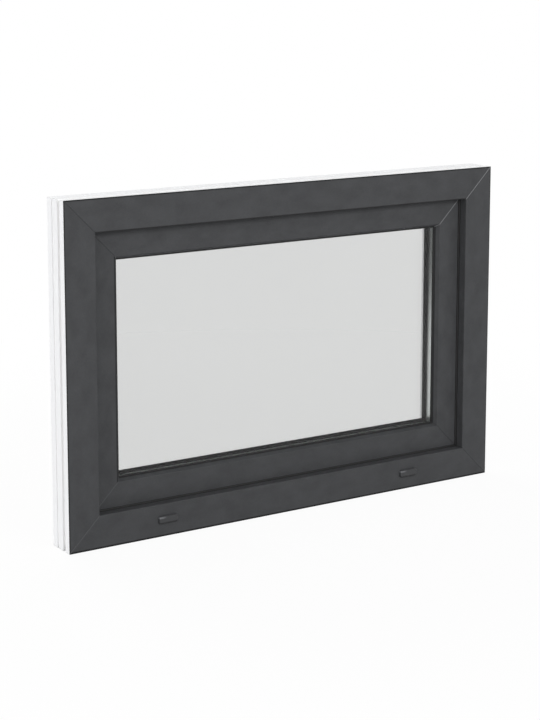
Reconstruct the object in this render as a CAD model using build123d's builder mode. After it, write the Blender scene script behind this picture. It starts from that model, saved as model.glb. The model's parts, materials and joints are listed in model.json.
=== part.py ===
"""PVC casement window: mitred frame and sash of chambered profiles, double glazed."""

import os

from build123d import *

# Overall sizes, in millimetres
window_width = 900
window_height = 600

# Depths through the wall, counted from the exterior face of the frame inwards
frame_depth = 60
sash_depth = 60
sash_setback = 20
overlap_seal = 4
frame_seal = 3
glazing_seal = 3

# Widths across the profiles, counted from the outside of the window towards the glass
frame_face = 58
sash_sight = 46.5
sash_flange_slope = 5.5
rebate_drop = 20
rebate_slope = 3
rebate_air = 12
lip_cover = 8
glass_bite = 14.5
glazing_clearance = 5

# Profile walls, skin and edges
wall = 2.5
foil = 0.5
visible_round = 1.5
inside_round = 3
weld_groove_width = 1
weld_groove_depth = 0.4
seal_groove_width = 2.5
seal_groove_depth = 3.5
seal_groove_inset = 2.5
hardware_groove_width = 12
hardware_groove_depth = 9

# Grooves in the outer side of the frame, for fixing lugs and trims
lug_groove_start = 15
lug_groove_width = 8
lug_groove_depth = 8
trim_groove_start = 41
trim_groove_width = 3
trim_groove_depth = 2.5

# Sealing lips and glazing
frame_lip_show = 3.5
outer_lip_show = 1.8
inner_lip_show = 3.5
seal_lip_width = 9
overlap_lip_width = 6
seal_nose_round = 1.2
pane_thickness = 4
pane_cavity = 16
edge_sealant = 4.5
spacer_height = 7.5
bead_depth = 20
bead_foot_width = 3
bead_foot_depth = 4
bead_slope_start = 8
bead_nose = 5

# Drain caps on the sill
drain_spacing = 520
drain_height = 30.5
drain_cap_width = 37
drain_cap_height = 13
drain_cap_stand = 5
drain_cap_round = 3
drain_cap_bevel = 1.2
drain_slot_width = 28
drain_slot_height = 5
drain_outlet_height = 3

# Handle on the left stile, seen from outside
handle_rose_width = 31
handle_rose_height = 68
handle_rose_thickness = 11
handle_rose_round = 8
handle_rose_bevel = 2.5
handle_neck_height = 17
handle_grip_width = 20
handle_grip_thickness = 14
handle_tip_width = 15
handle_tip_thinning = 3
handle_reach = 48
handle_length = 118
handle_outer_bend = 16
handle_inner_bend = 8
handle_edge_round = 3

# Hinges on the right jamb, seen from outside
hinge_inset = 112
hinge_half_height = 36
hinge_knuckle_radius = 7
hinge_leaf_thickness = 3
hinge_leaf_round = 1
hinge_axis_inset = 21
hinge_frame_leaf_edge = 4
hinge_sash_leaf_edge = 52
hinge_leaf_clearance = 1
hinge_web = 8
hinge_pin_radius = 3
hinge_pin_clearance = 0.05
hinge_pin_head_radius = 5
hinge_pin_head_height = 3

# Places that follow from the sizes above
front_y = -frame_depth / 2
frame_flange = sash_setback - frame_seal
frame_rebate = frame_face - rebate_drop
sash_back = sash_setback + sash_depth
sash_outer = frame_rebate + rebate_air
sash_edge = frame_face + sash_sight
sash_inner = sash_edge + sash_flange_slope
sash_lip_outer = frame_rebate - lip_cover
sash_lip_front = frame_depth + overlap_seal
glass_edge = sash_inner - glass_bite
glazing_floor = glass_edge - glazing_clearance
glass_unit = 2 * pane_thickness + pane_cavity
glass_back = sash_back - bead_depth - glazing_seal
glass_front = glass_back - glass_unit
sash_flange_back = glass_front - glazing_seal

bottom_left = Vector(-window_width / 2, front_y, 0)
bottom_right = Vector(window_width / 2, front_y, 0)
top_left = Vector(-window_width / 2, front_y, window_height)
top_right = Vector(window_width / 2, front_y, window_height)
right = Vector(1, 0, 0)
up = Vector(0, 0, 1)
inwall = Vector(0, 1, 0)

# Each side starts at one corner and runs to the next: corner, way inwards, way along, length
sides = {
    "bottom": (bottom_right, up, -right, window_width),
    "top": (top_left, -up, right, window_width),
    "left": (bottom_left, right, up, window_height),
    "right": (top_right, -right, -up, window_height),
}


def save(part, label):
    """Label one finished piece and write its file."""
    part.label = label
    export_step(part, f"parts/{label}.step")


def outline(points, rounds=()):
    """A closed profile through points, with some of its corners rounded."""
    with BuildSketch() as profile:
        with BuildLine():
            Polyline(*points, close=True)
        make_face()
        for corner, radius in rounds:
            fillet(profile.vertices().sort_by_distance(corner)[0], radius)
    return profile.sketch


def block(low, high, mode=Mode.ADD):
    """A rectangle between two corners, for the sketch at hand."""
    with Locations(((low[0] + high[0]) / 2, (low[1] + high[1]) / 2)):
        Rectangle(high[0] - low[0], high[1] - low[1], mode=mode)


def chambered(profile, chambers):
    """The same profile with its hollow chambers taken out."""
    with BuildSketch() as hollow:
        add(profile)
        for low, high in chambers:
            block(low, high, Mode.SUBTRACT)
    return hollow.sketch


def sealing_strip(blocks, nose):
    """A seal's profile: a lip and its foot, with the nose of the lip rounded."""
    with BuildSketch() as strip:
        for low, high in blocks:
            block(low, high)
        fillet(strip.vertices().sort_by_distance(nose)[0], seal_nose_round)
    return strip.sketch


def mitred_bar(profile, side, face=None, inside=1):
    """One side of the window: the profile run along it and cut at 45 degrees at both ends.

    Welded bars also get half of the shallow cleaned groove along each mitre, on the face at
    this depth: inside is 1 where the material lies behind the face, and -1 where it lies before it.
    """
    corner, inwards, along, length = sides[side]
    with BuildPart() as bar:
        with BuildSketch(Plane(origin=corner, x_dir=inwards, z_dir=along)):
            add(profile)
        extrude(amount=length)
        for end, way in ((corner, along), (corner + along * length, -along)):
            mitre = (way - inwards).normalized()
            split(bisect_by=Plane(origin=end, z_dir=mitre), keep=Keep.TOP)
            if face is not None:
                groove_edge = end + inwall * face + mitre * weld_groove_width
                slope = mitre * weld_groove_depth + inwall * inside * weld_groove_width
                split(bisect_by=Plane(origin=groove_edge, z_dir=slope), keep=Keep.TOP)
    return bar.part


def ring(profile):
    """A closed ring all round the window: the profile run along each side and joined at the corners."""
    with BuildPart() as loop:
        for side in sides:
            add(mitred_bar(profile, side))
    return loop.part


def facing(depth, at, outwards):
    """A plane at some depth, centred on a point across the window, facing in or out."""
    origin = Vector(at[0], front_y + depth, at[1])
    return Plane(origin=origin, x_dir=-right if outwards < 0 else right, z_dir=(0, -outwards, 0))


os.makedirs("parts", exist_ok=True)

# Frame profile: a tall exterior flange, a drained rebate and grooves in the outer side
lug_groove_end = lug_groove_start + lug_groove_width
trim_groove_end = trim_groove_start + trim_groove_width
frame_seal_groove = frame_face - foil - seal_groove_inset
frame_profile = outline(
    [
        (0, foil),
        (0, lug_groove_start),
        (lug_groove_depth, lug_groove_start),
        (lug_groove_depth, lug_groove_end),
        (0, lug_groove_end),
        (0, trim_groove_start),
        (trim_groove_depth, trim_groove_start),
        (trim_groove_depth, trim_groove_end),
        (0, trim_groove_end),
        (0, frame_depth),
        (frame_rebate, frame_depth),
        (frame_rebate - rebate_slope, frame_flange),
        (frame_seal_groove - seal_groove_width, frame_flange),
        (frame_seal_groove - seal_groove_width, frame_flange - seal_groove_depth),
        (frame_seal_groove, frame_flange - seal_groove_depth),
        (frame_seal_groove, frame_flange),
        (frame_face - foil, frame_flange),
        (frame_face - foil, foil),
    ],
    [
        ((frame_face - foil, foil), visible_round - foil),
        ((frame_rebate, frame_depth), visible_round),
    ],
)
front_chamber_back = frame_flange - seal_groove_depth - wall
main_chamber_outer = lug_groove_depth + wall
main_chamber_inner = frame_rebate - rebate_slope - wall
rear_chamber_front = trim_groove_end + wall
frame_core = chambered(
    frame_profile,
    [
        ((wall, foil + wall), (frame_face - foil - wall, front_chamber_back)),
        ((main_chamber_outer, front_chamber_back + wall), (main_chamber_inner, trim_groove_end)),
        ((wall, lug_groove_end + wall), (lug_groove_depth, trim_groove_start - wall)),
        ((wall, rear_chamber_front), (main_chamber_inner, frame_depth - wall)),
    ],
)
frame_skin = outline(
    [
        (0, 0),
        (frame_face, 0),
        (frame_face, frame_flange),
        (frame_face - foil, frame_flange),
        (frame_face - foil, foil),
        (0, foil),
    ],
    [
        ((frame_face, 0), visible_round),
        ((frame_face - foil, foil), visible_round - foil),
    ],
)

# Sash profile: a sloping glazing flange outside, a covering lip inside and a groove for the fittings
hardware_groove_start = sash_setback + (sash_lip_front - sash_setback - hardware_groove_width) / 2
hardware_groove_end = hardware_groove_start + hardware_groove_width
overlap_seal_groove = sash_lip_outer + overlap_lip_width / 2 + seal_groove_width / 2 + visible_round
glazing_seal_groove = sash_inner - foil - seal_groove_inset
bead_foot_front = sash_back - bead_depth / 2 - bead_foot_width / 2
bead_foot_back = bead_foot_front + bead_foot_width
sash_profile = outline(
    [
        (sash_outer, sash_setback + foil),
        (sash_outer, hardware_groove_start),
        (sash_outer + hardware_groove_depth, hardware_groove_start),
        (sash_outer + hardware_groove_depth, hardware_groove_end),
        (sash_outer, hardware_groove_end),
        (sash_outer, sash_lip_front),
        (overlap_seal_groove, sash_lip_front),
        (overlap_seal_groove, sash_lip_front + seal_groove_depth),
        (overlap_seal_groove - seal_groove_width, sash_lip_front + seal_groove_depth),
        (overlap_seal_groove - seal_groove_width, sash_lip_front),
        (sash_lip_outer, sash_lip_front),
        (sash_lip_outer, sash_back),
        (glazing_floor, sash_back),
        (glazing_floor, bead_foot_back),
        (glazing_floor - bead_foot_depth, bead_foot_back),
        (glazing_floor - bead_foot_depth, bead_foot_front),
        (glazing_floor, bead_foot_front),
        (glazing_floor, sash_flange_back),
        (glazing_seal_groove - seal_groove_width, sash_flange_back),
        (glazing_seal_groove - seal_groove_width, sash_flange_back - seal_groove_depth),
        (glazing_seal_groove, sash_flange_back - seal_groove_depth),
        (glazing_seal_groove, sash_flange_back),
        (sash_inner - foil, sash_flange_back),
        (sash_edge - foil, sash_setback + foil),
    ],
    [
        ((sash_edge - foil, sash_setback + foil), visible_round - foil),
        ((sash_lip_outer, sash_back), inside_round),
    ],
)
sash_front_chamber_back = hardware_groove_start - wall
flange_chamber_inner = glazing_seal_groove - seal_groove_width - wall
sash_main_outer = sash_outer + hardware_groove_depth + wall
sash_main_inner = glazing_floor - bead_foot_depth - wall
sash_rear_front = sash_lip_front + seal_groove_depth + wall
sash_core = chambered(
    sash_profile,
    [
        ((sash_outer + wall, sash_setback + foil + wall), (glazing_floor - wall, sash_front_chamber_back)),
        ((glazing_floor - wall, sash_setback + foil + wall), (flange_chamber_inner, sash_flange_back - wall)),
        ((sash_main_outer, sash_front_chamber_back + wall), (sash_main_inner, sash_rear_front - wall)),
        ((sash_lip_outer + wall, sash_rear_front), (sash_main_inner, sash_back - wall)),
    ],
)
sash_skin = outline(
    [
        (sash_outer, sash_setback),
        (sash_edge, sash_setback),
        (sash_inner, sash_flange_back),
        (sash_inner - foil, sash_flange_back),
        (sash_edge - foil, sash_setback + foil),
        (sash_outer, sash_setback + foil),
    ],
    [
        ((sash_edge, sash_setback), visible_round),
        ((sash_edge - foil, sash_setback + foil), visible_round - foil),
    ],
)

# Glazing bead: a hollow strip with a foot that snaps into the sash and a face that slopes to the glass
bead_front = sash_back - bead_depth
bead_profile = outline(
    [
        (glazing_floor, bead_front),
        (glazing_floor, bead_foot_front),
        (glazing_floor - bead_foot_depth, bead_foot_front),
        (glazing_floor - bead_foot_depth, bead_foot_back),
        (glazing_floor, bead_foot_back),
        (glazing_floor, sash_back),
        (sash_inner - bead_slope_start, sash_back),
        (sash_inner, bead_front + bead_nose),
        (sash_inner, bead_front),
    ],
    [
        ((sash_inner - bead_slope_start, sash_back), inside_round),
        ((sash_inner, bead_front + bead_nose), visible_round),
    ],
)
bead_chamber_inner = sash_inner - bead_slope_start - wall
bead_core = chambered(
    bead_profile,
    [((glazing_floor + wall, bead_front + wall), (bead_chamber_inner, sash_back - wall))],
)

# Drain slots in the sill, behind the caps
drains = [(-drain_spacing / 2, drain_height), (drain_spacing / 2, drain_height)]


def drained(bar, through):
    """A bottom bar with its two drain slots cut through to a depth."""
    with BuildPart() as sill:
        add(bar)
        for place in drains:
            with BuildSketch(facing(0, place, 1)):
                SlotOverall(drain_slot_width, drain_slot_height)
            extrude(amount=-through, mode=Mode.SUBTRACT)
    return sill.part


# Frame and sash bars, their exterior skins and the glazing beads
frame_names = {
    "bottom": "frame_sill",
    "top": "frame_head",
    "left": "frame_left_jamb",
    "right": "frame_right_jamb",
}
sash_names = {
    "bottom": "sash_bottom_rail",
    "top": "sash_top_rail",
    "left": "sash_left_stile",
    "right": "sash_right_stile",
}
for side in sides:
    frame_bar = mitred_bar(frame_core, side, frame_depth, -1)
    frame_foil = mitred_bar(frame_skin, side, 0)
    if side == "bottom":
        frame_bar = drained(frame_bar, foil + wall)
        frame_foil = drained(frame_foil, foil)
    save(frame_bar, frame_names[side])
    save(frame_foil, frame_names[side] + "_foil")
    save(mitred_bar(sash_core, side, sash_back, -1), sash_names[side])
    save(mitred_bar(sash_skin, side, sash_setback), sash_names[side] + "_foil")
    save(mitred_bar(bead_core, side), "glazing_bead_" + side)

# Seals: a foot in a groove and a lip with a rounded nose that bears on the next piece
frame_lip = frame_face + frame_lip_show
frame_strip = sealing_strip(
    [
        ((frame_lip - seal_lip_width, frame_flange), (frame_lip, sash_setback)),
        (
            (frame_seal_groove - seal_groove_width, frame_flange - seal_groove_depth),
            (frame_seal_groove, frame_flange),
        ),
    ],
    (frame_lip, frame_flange),
)
save(ring(frame_strip), "frame_seal")
overlap_lip = overlap_seal_groove - seal_groove_width / 2 - overlap_lip_width / 2
overlap_strip = sealing_strip(
    [
        ((overlap_lip, frame_depth), (overlap_lip + overlap_lip_width, sash_lip_front)),
        (
            (overlap_seal_groove - seal_groove_width, sash_lip_front),
            (overlap_seal_groove, sash_lip_front + seal_groove_depth),
        ),
    ],
    (overlap_lip, frame_depth),
)
save(ring(overlap_strip), "sash_overlap_seal")
outer_lip = sash_inner + outer_lip_show
outer_strip = sealing_strip(
    [
        ((outer_lip - seal_lip_width, sash_flange_back), (outer_lip, glass_front)),
        (
            (glazing_seal_groove - seal_groove_width, sash_flange_back - seal_groove_depth),
            (glazing_seal_groove, sash_flange_back),
        ),
    ],
    (outer_lip, sash_flange_back),
)
save(ring(outer_strip), "outer_glazing_seal")
inner_lip = sash_inner + inner_lip_show
inner_strip = sealing_strip(
    [((inner_lip - seal_lip_width, glass_back), (inner_lip, bead_front))],
    (inner_lip, bead_front),
)
save(ring(inner_strip), "inner_glazing_seal")

# Double glazing: two panes on an aluminium spacer
for label, front in (("outer_pane", glass_front), ("inner_pane", glass_back - pane_thickness)):
    with BuildPart() as pane:
        with BuildSketch(facing(front, (0, window_height / 2), -1)):
            Rectangle(window_width - 2 * glass_edge, window_height - 2 * glass_edge)
        extrude(amount=pane_thickness)
    save(pane.part, label)
spacer_outer = glass_edge + edge_sealant
spacer_inner = spacer_outer + spacer_height
spacer_front = glass_front + pane_thickness
spacer_back = spacer_front + pane_cavity
with BuildSketch() as spacer_profile:
    block((spacer_outer, spacer_front), (spacer_inner, spacer_back))
save(ring(spacer_profile.sketch), "glazing_spacer")

# Drain caps: rounded hoods with an outlet underneath and a foot in the slot
for label, place in zip(("drain_cap_left", "drain_cap_right"), drains):
    with BuildPart() as cap:
        with BuildSketch(facing(0, place, 1)):
            RectangleRounded(drain_cap_width, drain_cap_height, drain_cap_round)
        extrude(amount=drain_cap_stand)
        chamfer(cap.faces().sort_by(Axis.Y)[0].edges(), drain_cap_bevel)
        with BuildSketch(facing(0, place, 1)):
            with Locations((0, -drain_cap_height / 2)):
                Rectangle(drain_slot_width, 2 * drain_outlet_height)
        extrude(amount=drain_cap_stand / 2, mode=Mode.SUBTRACT)
        with BuildSketch(facing(0, place, 1)):
            SlotOverall(drain_slot_width, drain_slot_height)
        extrude(amount=-foil - wall)
    save(cap.part, label)

# Handle: a rose on the left stile and a lever that points down when the window is shut
handle_x = -window_width / 2 + (sash_lip_outer + glazing_floor) / 2
handle_place = (handle_x, window_height / 2)
with BuildPart() as handle_rose:
    with BuildSketch(facing(sash_back, handle_place, -1)):
        RectangleRounded(handle_rose_width, handle_rose_height, handle_rose_round)
    extrude(amount=handle_rose_thickness)
    chamfer(handle_rose.faces().sort_by(Axis.Y)[-1].edges(), handle_rose_bevel)
save(handle_rose.part, "handle_rose")

neck_start = sash_back + handle_rose_thickness
neck_half = handle_neck_height / 2
grip_back = sash_back + handle_reach + handle_grip_thickness / 2
grip_front = grip_back - handle_grip_thickness
lever_side = outline(
    [
        (neck_start, neck_half),
        (grip_back, neck_half),
        (grip_back - handle_tip_thinning, -handle_length),
        (grip_front, -handle_length),
        (grip_front, -neck_half),
        (neck_start, -neck_half),
    ],
    [
        ((grip_back, neck_half), handle_outer_bend),
        ((grip_front, -neck_half), handle_inner_bend),
    ],
)
lever_axis = Vector(handle_x, front_y, window_height / 2)
with BuildPart() as handle_lever:
    with BuildSketch(Plane(origin=lever_axis, x_dir=inwall, z_dir=right)):
        add(lever_side)
    extrude(amount=handle_grip_width, both=True)
    with BuildSketch(Plane(origin=lever_axis, x_dir=right, z_dir=-inwall)):
        Circle(handle_grip_width / 2)
        with Locations((0, handle_tip_width / 2 - handle_length)):
            Circle(handle_tip_width / 2)
        make_hull()
    extrude(amount=-grip_back, mode=Mode.INTERSECT)
    grip_middle = front_y + sash_back + handle_reach
    fillet([edge for edge in handle_lever.edges() if edge.center().Y > grip_middle], handle_edge_round)
save(handle_lever.part, "handle_lever")

# Hinges: a leaf on the frame, a leaf on the sash and the pin between them
hinge_axis_x = window_width / 2 - hinge_axis_inset
hinge_axis_depth = sash_back + hinge_leaf_thickness - hinge_knuckle_radius
hinge_axis_y = front_y + hinge_axis_depth


def hinge_half(low, plates):
    """Half a hinge: a knuckle on the hinge axis, fused with its leaf, bored for the pin."""
    level = Plane(origin=(hinge_axis_x, hinge_axis_y, low), x_dir=right, z_dir=up)
    with BuildPart() as half:
        with BuildSketch(level):
            Circle(hinge_knuckle_radius)
            add(plates)
            Circle(hinge_pin_radius + hinge_pin_clearance, mode=Mode.SUBTRACT)
        extrude(amount=hinge_half_height)
    return half.part


def plate(inset_a, inset_b, depth_a, depth_b, rounded):
    """A plate seen along the hinge axis, from insets and depths, with edges rounded at some insets."""
    near = hinge_axis_inset - inset_a
    far = hinge_axis_inset - inset_b
    front = depth_a - hinge_axis_depth
    back = depth_b - hinge_axis_depth
    edges = [((hinge_axis_inset - inset, back), hinge_leaf_round) for inset in rounded]
    return outline([(near, front), (far, front), (far, back), (near, back)], edges)


frame_leaf_back = frame_depth + hinge_leaf_thickness
frame_leaf_end = sash_lip_outer - hinge_leaf_clearance
web_start = hinge_axis_inset - hinge_web / 2
sash_leaf_back = sash_back + hinge_leaf_thickness
frame_leaf = [
    plate(hinge_frame_leaf_edge, frame_leaf_end, frame_depth, frame_leaf_back, [hinge_frame_leaf_edge]),
    plate(web_start, web_start + hinge_web, frame_depth, hinge_axis_depth, []),
]
sash_leaf = [plate(hinge_axis_inset, hinge_sash_leaf_edge, sash_back, sash_leaf_back, [hinge_sash_leaf_edge])]
for label, height in (("lower", hinge_inset), ("upper", window_height - hinge_inset)):
    save(hinge_half(height - hinge_half_height, frame_leaf), f"{label}_hinge_frame_leaf")
    save(hinge_half(height, sash_leaf), f"{label}_hinge_sash_leaf")
    with BuildPart() as pin:
        foot = Plane(origin=(hinge_axis_x, hinge_axis_y, height - hinge_half_height), z_dir=up)
        with BuildSketch(foot):
            Circle(hinge_pin_radius)
        extrude(amount=2 * hinge_half_height)
        with BuildSketch(foot.offset(2 * hinge_half_height)):
            Circle(hinge_pin_head_radius)
        extrude(amount=hinge_pin_head_height)
    save(pin.part, f"{label}_hinge_pin")
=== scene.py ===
"""Looks of the PVC casement window: materials, light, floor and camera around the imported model."""

import json
import math

import bpy
from mathutils import Matrix, Vector


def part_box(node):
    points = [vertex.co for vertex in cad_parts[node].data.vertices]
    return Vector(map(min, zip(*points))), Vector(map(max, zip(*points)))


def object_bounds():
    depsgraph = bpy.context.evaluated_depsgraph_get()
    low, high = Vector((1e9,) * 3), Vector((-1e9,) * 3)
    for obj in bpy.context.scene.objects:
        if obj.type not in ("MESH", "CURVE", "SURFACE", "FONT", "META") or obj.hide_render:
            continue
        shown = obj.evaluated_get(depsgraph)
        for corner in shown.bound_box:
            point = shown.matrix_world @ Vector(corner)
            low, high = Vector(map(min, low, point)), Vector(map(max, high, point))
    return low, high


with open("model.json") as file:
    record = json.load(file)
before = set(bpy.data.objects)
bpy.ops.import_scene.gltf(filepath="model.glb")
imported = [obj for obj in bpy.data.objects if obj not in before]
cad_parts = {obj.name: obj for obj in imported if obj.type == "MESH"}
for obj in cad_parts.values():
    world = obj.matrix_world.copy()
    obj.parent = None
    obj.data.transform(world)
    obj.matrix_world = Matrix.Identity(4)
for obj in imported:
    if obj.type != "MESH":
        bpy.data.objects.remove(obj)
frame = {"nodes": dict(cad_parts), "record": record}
cad_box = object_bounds()
nodes = frame["nodes"]

# Sizes of the window, in metres
half_width = (cad_box[1][0] - cad_box[0][0]) / 2
half_height = (cad_box[1][2] - cad_box[0][2]) / 2

# Insets from the outer edges: the beads' joint, the frame's face, the sash's end and the start of its slope
bead_foot = 0.004
bead_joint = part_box("glazing_bead_bottom")[0][2] + bead_foot
frame_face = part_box("frame_sill_foil")[1][2]
sash_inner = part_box("sash_bottom_rail_foil")[1][2]
sash_slope = 0.0055
sash_edge = sash_inner - sash_slope

# Grooves in the frame's outer sides: none is deeper than this, and all lie in front of the frame's room face
groove_reach = 0.02
room_rim = 0.003
frame_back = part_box("frame_sill")[1][1] - room_rim

# Painted shade lines in the foil, at its outer rims and beside the glass, the left stile and the head: width
# in metres, and the share of the foil's tone that is left in the line
left_rim = (0.003, 0.4)
right_rim = (0.002, 0.6)
lower_rim = (0.004, 0.1)
upper_rim = (0.003, 0.2)
glass_line = (0.0018, 0.3)
stile_line = (0.003, 0.3)
head_line = (0.0025, 0.4)

# The share of a painted shade line's width that is fully dark
shade_core_share = 0.55

# Nearly all values of a noise lie between these two
noise_low = 0.3
noise_high = 0.7

# Floor: its reach, where the window's shadow starts to fade and ends, and how white the shadow is
floor_reach = 120.0
fade_start = 0.5
fade_end = 1.6
near_white = 0.95

# World: its strength as light and its strength where it is seen
sky_light = 0.46
sky_white = 1.0

# Camera: it stands left of the window, above it, and looks down a little
camera_place = Vector((-1.7413, -2.6432, 0.9892))
camera_yaw = math.radians(32.928)
camera_pitch = math.radians(9.060)
camera_sensor = 36.0
camera_lens = 89.738
camera_shift = -0.16
camera_reach = 500.0


def opaque(colour):
    """A colour with full alpha, as colour sockets take it."""
    return (*colour, 1.0)


def even(scale):
    """A noise scale that is the same along all three axes."""
    return (scale, scale, scale)


def along(axis, along_scale, across_scale):
    """Noise scales of a bar that runs along X or Z: few waves along it, many across it."""
    if axis == "X":
        return (along_scale, across_scale, across_scale)
    return (across_scale, across_scale, along_scale)


def bar_axis(name):
    """The axis that a bar runs along, from its name."""
    upright = ("jamb", "stile", "bead_left", "bead_right")
    return "Z" if any(word in name for word in upright) else "X"


class Tree:
    """A node tree with short calls to add nodes to it."""

    def __init__(self, tree):
        self.tree = tree

    def link(self, source, target):
        """Join one node's output to another node's input."""
        self.tree.links.new(source, target)

    def fill(self, socket, value):
        """Put a value, or another node's output, into a socket."""
        if isinstance(value, bpy.types.NodeSocket):
            self.link(value, socket)
        else:
            socket.default_value = value

    def add(self, kind, **settings):
        """Add a node of a kind, with its settings."""
        made = self.tree.nodes.new(kind)
        for name, value in settings.items():
            setattr(made, name, value)
        return made

    def math(self, operation, first, second=0.0):
        """One operation on two values, or on the first alone."""
        made = self.add("ShaderNodeMath", operation=operation)
        self.fill(made.inputs[0], first)
        self.fill(made.inputs[1], second)
        return made.outputs[0]

    def product(self, first, *others):
        """All the values multiplied."""
        result = first
        for other in others:
            result = self.math("MULTIPLY", result, other)
        return result

    def apart(self, first, second):
        """How far apart two values lie."""
        return self.math("ABSOLUTE", self.math("SUBTRACT", first, second))

    def ranged(self, value, low, high, to_low, to_high, smooth=False):
        """A value between low and high carried over to another range, and held at its ends."""
        made = self.add("ShaderNodeMapRange", interpolation_type="SMOOTHSTEP" if smooth else "LINEAR")
        self.fill(made.inputs["Value"], value)
        made.inputs["From Min"].default_value = low
        made.inputs["From Max"].default_value = high
        made.inputs["To Min"].default_value = to_low
        made.inputs["To Max"].default_value = to_high
        return made.outputs["Result"]

    def seen(self):
        """1 for rays from the camera, off gloss and through glass, and 0 for all other rays."""
        path = self.add("ShaderNodeLightPath")
        either = self.math("MAXIMUM", path.outputs["Is Camera Ray"], path.outputs["Is Glossy Ray"])
        return self.math("MAXIMUM", either, path.outputs["Is Transmission Ray"])


class Shader(Tree):
    """A material whose patterns are laid out in the window's own frame."""

    def __init__(self, name):
        self.material = bpy.data.materials.new(name)
        self.material.use_nodes = True
        super().__init__(self.material.node_tree)
        self.surface = self.tree.nodes["Principled BSDF"]
        self.output = self.tree.nodes["Material Output"]

    def set(self, **values):
        """Fill the surface's sockets by their names, with underscores for spaces."""
        for name, value in values.items():
            self.fill(self.surface.inputs[name.replace("_", " ")], value)

    def place(self):
        """Coordinates in the window's own frame, in metres."""
        return self.add("ShaderNodeTexCoord").outputs["Object"]

    def coordinate(self, axis):
        """One of those coordinates."""
        split = self.add("ShaderNodeSeparateXYZ")
        self.link(self.place(), split.inputs[0])
        return split.outputs[axis]

    def from_middle(self):
        """How far a point lies right of the window's middle, and above it."""
        return self.coordinate("X"), self.math("SUBTRACT", self.coordinate("Z"), half_height)

    def from_edges(self):
        """Distances from the nearest upright edge and from the nearest level edge of the window."""
        across, above = self.from_middle()
        upright = self.math("SUBTRACT", half_width, self.math("ABSOLUTE", across))
        level = self.math("SUBTRACT", half_height, self.math("ABSOLUTE", above))
        return upright, level

    def inset(self):
        """Distance from the nearest outer edge of the window."""
        return self.math("MINIMUM", *self.from_edges())

    def from_mitre(self):
        """Distance from the nearest mitre line, which all the bars' corners share."""
        return self.product(self.apart(*self.from_edges()), math.sqrt(0.5))

    def noise(self, scale, detail, roughness):
        """Noise with a number of waves per metre along each axis."""
        mapping = self.add("ShaderNodeMapping")
        self.link(self.place(), mapping.inputs["Vector"])
        mapping.inputs["Scale"].default_value = scale
        made = self.add("ShaderNodeTexNoise")
        self.link(mapping.outputs["Vector"], made.inputs["Vector"])
        made.inputs["Scale"].default_value = 1.0
        made.inputs["Detail"].default_value = detail
        made.inputs["Roughness"].default_value = roughness
        return made.outputs["Fac"]

    def varied(self, noise, lowest, highest):
        """A value between two limits that follows a noise."""
        return self.ranged(noise, noise_low, noise_high, lowest, highest)

    def mixed(self, factor, first, second, blend="MIX"):
        """Two colours mixed by a factor."""
        made = self.add("ShaderNodeMix", data_type="RGBA", blend_type=blend)
        self.fill(made.inputs["Factor"], factor)
        self.fill(made.inputs["A"], first)
        self.fill(made.inputs["B"], second)
        return made.outputs["Result"]

    def toned(self, colour, tone):
        """A colour made lighter or darker by a tone, where 1 leaves it as it is."""
        grey = self.add("ShaderNodeCombineColor")
        for channel in ("Red", "Green", "Blue"):
            self.link(tone, grey.inputs[channel])
        return self.mixed(1.0, opaque(colour), grey.outputs["Color"], "MULTIPLY")

    def bump(self, relief, height):
        """A relief of some height, in metres, on the surface."""
        made = self.add("ShaderNodeBump")
        made.inputs["Strength"].default_value = 1.0
        made.inputs["Distance"].default_value = height
        self.link(relief, made.inputs["Height"])
        self.link(made.outputs["Normal"], self.surface.inputs["Normal"])


def make_foil(axis):
    """Matt anthracite foil: embossed grain, faint clouds, painted shade lines at its rims and edges, and
    painted highlight and shade on the weld seams.
    """
    anthracite = (0.054, 0.0554, 0.0584)
    shaded_seam = (0.041, 0.042, 0.044)
    lower_seam_highlight = (0.074, 0.076, 0.08)
    upper_seam_highlight = (0.16, 0.163, 0.168)
    seam_core = 0.0004
    seam_edge = 0.0011

    foil = Shader("anthracite_foil_" + axis.lower())
    clouds = foil.noise(along(axis, along_scale=26.0, across_scale=42.0), detail=4.0, roughness=0.6)
    grain = foil.noise(along(axis, along_scale=260.0, across_scale=900.0), detail=3.0, roughness=0.6)
    tone = foil.product(foil.varied(clouds, 0.87, 1.13), foil.varied(grain, 0.91, 1.09))

    across, above = foil.from_middle()
    from_left = foil.math("ADD", half_width, across)
    from_top = foil.math("SUBTRACT", half_height, above)
    painted_shade_lines = [
        (from_left, left_rim),
        (foil.math("SUBTRACT", half_width, across), right_rim),
        (foil.math("ADD", half_height, above), lower_rim),
        (from_top, upper_rim),
        (foil.math("SUBTRACT", sash_inner, foil.inset()), glass_line),
    ]
    if axis == "Z":
        painted_shade_lines.append((foil.apart(from_left, sash_edge), stile_line))
    else:
        painted_shade_lines.append((foil.apart(from_top, frame_face), head_line))
    # Painted shade: the foil is darkened along its outer rims and along the lines beside the glass, the left
    # stile and the head
    for distance, (width, darkest) in painted_shade_lines:
        line = foil.ranged(distance, shade_core_share * width, width, darkest, 1.0, smooth=True)
        tone = foil.product(tone, line)

    # Painted highlight on the seams in the upper right and lower left corners, the upper ones most, and
    # painted shade on the others
    highlit_corners = foil.math("GREATER_THAN", foil.product(across, above), 0.0)
    upper = foil.math("GREATER_THAN", above, 0.0)
    seam_highlight = foil.mixed(upper, opaque(lower_seam_highlight), opaque(upper_seam_highlight))
    seam_light_and_shade = foil.mixed(highlit_corners, opaque(shaded_seam), seam_highlight)
    seam = foil.ranged(foil.from_mitre(), seam_core, seam_edge, 1.0, 0.0, smooth=True)

    foil.set(
        Base_Color=foil.mixed(seam, foil.toned(anthracite, tone), seam_light_and_shade),
        Roughness=foil.ranged(seam, 0.0, 1.0, 0.6, 0.45),
        Specular_IOR_Level=0.2,
    )
    foil.bump(grain, height=0.00006)
    return foil.material


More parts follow.
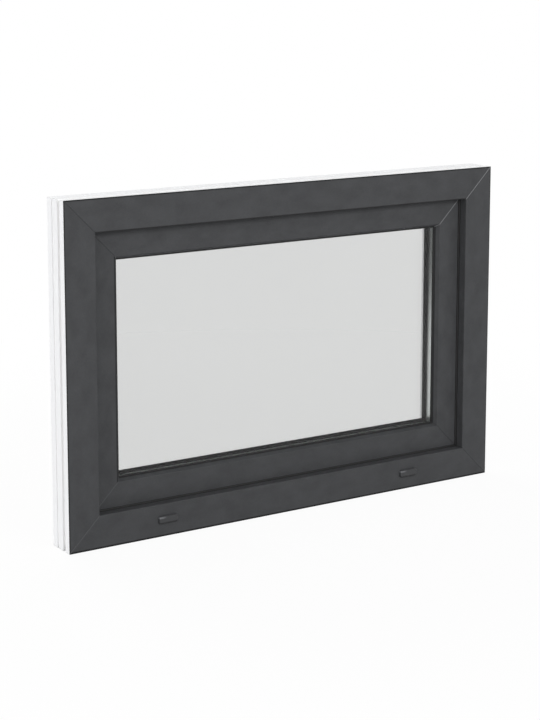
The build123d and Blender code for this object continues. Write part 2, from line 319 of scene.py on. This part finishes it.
def make_white_pvc(axis):
    """White PVC: faint streaks, painted light in the grooves of the frame's outer sides, weld seams and the
    joint beside the glazing beads.
    """
    white = (0.885, 0.89, 0.9)
    groove_painted_light = (0.975, 0.975, 0.975)
    groove_start = 0.0002
    groove_full = 0.001
    seam_grey = (0.7, 0.7, 0.69)
    seam_share = 0.5
    seam_core = 0.0002
    seam_edge = 0.0008
    joint_tone = 0.4
    joint_core = 0.0002
    joint_edge = 0.0006

    pvc = Shader("white_pvc_" + axis.lower())
    streaks = pvc.noise(along(axis, along_scale=1.6, across_scale=160.0), detail=2.0, roughness=0.5)
    clouds = pvc.noise(even(9.0), detail=3.0, roughness=0.5)
    inset = pvc.inset()
    joint = pvc.ranged(pvc.apart(inset, bead_joint), joint_core, joint_edge, joint_tone, 1.0, smooth=True)
    tone = pvc.product(pvc.varied(streaks, 0.994, 1.004), pvc.varied(clouds, 0.993, 1.005), joint)

    # Painted light: the grooves in the frame's outer sides are painted whiter, to lift their shade
    painted_groove_light = pvc.product(
        pvc.ranged(inset, groove_start, groove_full, 0.0, 1.0),
        pvc.math("LESS_THAN", inset, groove_reach),
        pvc.math("LESS_THAN", pvc.coordinate("Y"), frame_back),
    )
    colour = pvc.mixed(painted_groove_light, pvc.toned(white, tone), opaque(groove_painted_light))
    seam = pvc.ranged(pvc.from_mitre(), seam_core, seam_edge, 1.0, 0.0, smooth=True)

    pvc.set(
        Base_Color=pvc.mixed(pvc.product(seam, seam_share), colour, opaque(seam_grey)),
        Roughness=pvc.varied(streaks, 0.46, 0.54),
        Specular_IOR_Level=0.2,
    )
    pvc.bump(streaks, height=0.00001)
    return pvc.material


def make_seal():
    """Black rubber with a dull, slightly uneven skin."""
    black = (0.011, 0.0112, 0.0115)
    seal = Shader("black_seal")
    skin = seal.noise(even(700.0), detail=3.0, roughness=0.6)
    bloom = seal.noise(even(30.0), detail=2.0, roughness=0.5)
    seal.set(
        Base_Color=seal.toned(black, seal.varied(bloom, 0.85, 1.25)),
        Roughness=seal.varied(skin, 0.5, 0.68),
        Specular_IOR_Level=0.35,
    )
    seal.bump(skin, height=0.00004)
    return seal.material


def make_glass():
    """Coated float glass: a grey tint that is a touch uneven, as large panes are."""
    tint = (0.819, 0.8225, 0.8205)
    glass = Shader("clear_glass")
    drift = glass.noise(even(2.2), detail=1.0, roughness=0.4)
    glass.set(
        Base_Color=glass.toned(tint, glass.varied(drift, 0.996, 1.004)),
        Roughness=0.0,
        Transmission_Weight=1.0,
        IOR=1.3,
    )
    return glass.material


def make_spacer():
    """Bare aluminium spacer with faint rolling marks, and painted shade towards its top."""
    aluminium = (0.88, 0.915, 0.905)
    bright_to = half_height - 0.07
    dark_from = half_height + 0.15
    top_shade_tone = 0.25

    spacer = Shader("spacer_aluminium")
    rolled = spacer.noise((60.0, 900.0, 60.0), detail=2.0, roughness=0.5)
    # Painted shade: the spacer grows darker towards its top
    painted_top_shade = spacer.ranged(spacer.coordinate("Z"), bright_to, dark_from, 1.0, top_shade_tone, smooth=True)
    spacer.set(
        Base_Color=spacer.toned(aluminium, spacer.product(spacer.varied(rolled, 0.92, 1.05), painted_top_shade)),
        Metallic=1.0,
        Roughness=spacer.varied(rolled, 0.33, 0.42),
    )
    spacer.bump(rolled, height=0.00003)
    return spacer.material


def make_moulded_plastic():
    """Moulded plastic of the drain caps: fine skin, a painted highlight at the upper left corner and painted
    shade along the lower edge.
    """
    anthracite = (0.043, 0.0442, 0.0468)
    highlight_inset = 0.0035
    highlight_drop = 0.0022
    highlight_tone = 3.4
    highlight_length = (0.001, 0.012)
    highlight_height = (0.0006, 0.0022)
    foot_shade_tone = 0.25
    foot_shade_height = (0.0014, 0.0032)

    plastic = Shader("anthracite_plastic")
    skin = plastic.noise(even(1500.0), detail=2.0, roughness=0.5)
    blotches = plastic.noise(even(80.0), detail=2.0, roughness=0.5)
    across = plastic.coordinate("X")
    height = plastic.coordinate("Z")
    # Painted highlight near the upper left corner of each cap
    painted_highlight = 0.0
    for cap in ("drain_cap_left", "drain_cap_right"):
        low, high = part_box(cap)
        aside = plastic.apart(across, low[0] + highlight_inset)
        painted_highlight = plastic.math("MAXIMUM", painted_highlight, plastic.ranged(aside, *highlight_length, 1.0, 0.0, smooth=True))

    # Both caps stand at one height, so the last box gives the top and the foot of both
    off_level = plastic.apart(height, high[2] - highlight_drop)
    painted_highlight = plastic.product(painted_highlight, plastic.ranged(off_level, *highlight_height, 1.0, 0.0, smooth=True))
    # Painted shade along the caps' lower edge
    from_foot = plastic.math("SUBTRACT", height, low[2])
    tone = plastic.product(
        plastic.varied(blotches, 0.95, 1.06),
        plastic.ranged(painted_highlight, 0.0, 1.0, 1.0, highlight_tone),
        plastic.ranged(from_foot, *foot_shade_height, foot_shade_tone, 1.0, smooth=True),
    )

    plastic.set(
        Base_Color=plastic.toned(anthracite, tone),
        Roughness=plastic.varied(skin, 0.36, 0.46),
        Specular_IOR_Level=0.3,
    )
    plastic.bump(skin, height=0.00003)
    return plastic.material


def make_lacquer():
    """White powder coat over cast metal, with a slight orange peel."""
    white = (0.82, 0.825, 0.825)
    lacquer = Shader("white_lacquer")
    peel = lacquer.noise(even(380.0), detail=2.0, roughness=0.5)
    clouds = lacquer.noise(even(25.0), detail=2.0, roughness=0.5)
    lacquer.set(
        Base_Color=lacquer.toned(white, lacquer.varied(clouds, 0.985, 1.012)),
        Roughness=lacquer.varied(peel, 0.26, 0.34),
        Coat_Weight=0.3,
        Coat_Roughness=0.15,
    )
    lacquer.bump(peel, height=0.00006)
    return lacquer.material


def make_zinc():
    """Bright zinc on turned steel."""
    bright = (0.62, 0.62, 0.6)
    zinc = Shader("zinc_steel")
    turned = zinc.noise((200.0, 200.0, 1400.0), detail=2.0, roughness=0.5)
    zinc.set(
        Base_Color=zinc.toned(bright, zinc.varied(turned, 0.9, 1.08)),
        Metallic=1.0,
        Roughness=zinc.varied(turned, 0.24, 0.38),
    )
    zinc.bump(turned, height=0.00003)
    return zinc.material


def make_floor_paint():
    """Pale matt paint that is white where it is seen, apart from the window's shadow near the window."""
    pale = (0.8, 0.8, 0.8)
    paint = Shader("pale_floor")
    paper = paint.noise(even(14.0), detail=2.0, roughness=0.5)
    paint.set(
        Base_Color=paint.toned(pale, paint.varied(paper, 0.995, 1.005)),
        Roughness=0.9,
        Specular_IOR_Level=0.0,
    )
    away = paint.add("ShaderNodeVectorMath", operation="LENGTH")
    paint.link(paint.place(), away.inputs[0])
    open_floor = paint.ranged(away.outputs["Value"], fade_start, fade_end, near_white, 1.0, smooth=True)
    white = paint.add("ShaderNodeEmission")
    white.inputs["Strength"].default_value = 1.0
    blend = paint.add("ShaderNodeMixShader")
    paint.link(paint.product(paint.seen(), open_floor), blend.inputs["Fac"])
    paint.link(paint.surface.outputs["BSDF"], blend.inputs[1])
    paint.link(white.outputs["Emission"], blend.inputs[2])
    paint.link(blend.outputs["Shader"], paint.output.inputs["Surface"])
    return paint.material


# Materials of the nodes, by the slot that the record gives each
foil_for = {"X": make_foil("X"), "Z": make_foil("Z")}
pvc_for = {"X": make_white_pvc("X"), "Z": make_white_pvc("Z")}
plain_for = {
    "black_seal": make_seal(),
    "clear_glass": make_glass(),
    "spacer_aluminium": make_spacer(),
    "anthracite_plastic": make_moulded_plastic(),
    "white_lacquer": make_lacquer(),
    "zinc_steel": make_zinc(),
}
slot_of = {entry["node"]: entry["material_slot"] for entry in frame["record"]["subparts"]}
for name, node in nodes.items():
    if slot_of[name] == "anthracite_foil":
        finish = foil_for[bar_axis(name)]
    elif slot_of[name] == "white_pvc":
        finish = pvc_for[bar_axis(name)]
    else:
        finish = plain_for[slot_of[name]]
    node.data.materials.clear()
    node.data.materials.append(finish)

# Floor: a large square under the window
corner_signs = ((-1, -1), (1, -1), (1, 1), (-1, 1))
corners = [(floor_reach * x, floor_reach * y, 0.0) for x, y in corner_signs]
floor_mesh = bpy.data.meshes.new("floor")
floor_mesh.from_pydata(corners, [], [(0, 1, 2, 3)])
floor_mesh.materials.append(make_floor_paint())
floor = bpy.data.objects.new("floor", floor_mesh)
floor.location.z = cad_box[0][2]
bpy.context.scene.collection.objects.link(floor)

# World: soft light all round, white to the camera, to gloss and through the glass
world = bpy.data.worlds.new("studio")
world.use_nodes = True
bpy.context.scene.world = world
sky = Tree(world.node_tree)
background = sky.tree.nodes["Background"]
sky.fill(background.inputs["Color"], opaque((1.0, 1.0, 1.0)))
sky.fill(background.inputs["Strength"], sky.ranged(sky.seen(), 0.0, 1.0, sky_light, sky_white))


def soft_box(name, place, size, power):
    """A large square lamp that shines on the window's middle and does not show through the glass."""
    lamp = bpy.data.lights.new(name, "AREA")
    lamp.shape = "SQUARE"
    lamp.size = size
    lamp.energy = power
    made = bpy.data.objects.new(name, lamp)
    made.location = place
    middle = Vector((0.0, 0.0, half_height))
    made.rotation_euler = (middle - Vector(place)).to_track_quat("-Z", "Y").to_euler()
    made.visible_transmission = False
    bpy.context.scene.collection.objects.link(made)


soft_box("key_light", place=(0.5, -4.2, 2.5), size=1.5, power=90.0)
soft_box("side_light", place=(-4.0, -0.6, 1.0), size=2.4, power=62.0)
soft_box("back_light", place=(-0.3, 3.6, 2.9), size=2.0, power=76.0)
soft_box("right_light", place=(4.0, 0.8, 0.8), size=2.0, power=42.0)

# Camera
camera_data = bpy.data.cameras.new("camera")
camera_data.sensor_width = camera_sensor
camera_data.lens = camera_lens
camera_data.shift_y = camera_shift
camera_data.clip_end = camera_reach
camera = bpy.data.objects.new("camera", camera_data)
turn = Matrix.Rotation(-camera_yaw, 4, "Z") @ Matrix.Rotation(math.pi / 2 - camera_pitch, 4, "X")
camera.matrix_world = Matrix.Translation(camera_place) @ turn
bpy.context.scene.collection.objects.link(camera)
bpy.context.scene.camera = camera

bpy.context.scene.view_settings.view_transform = "Standard"
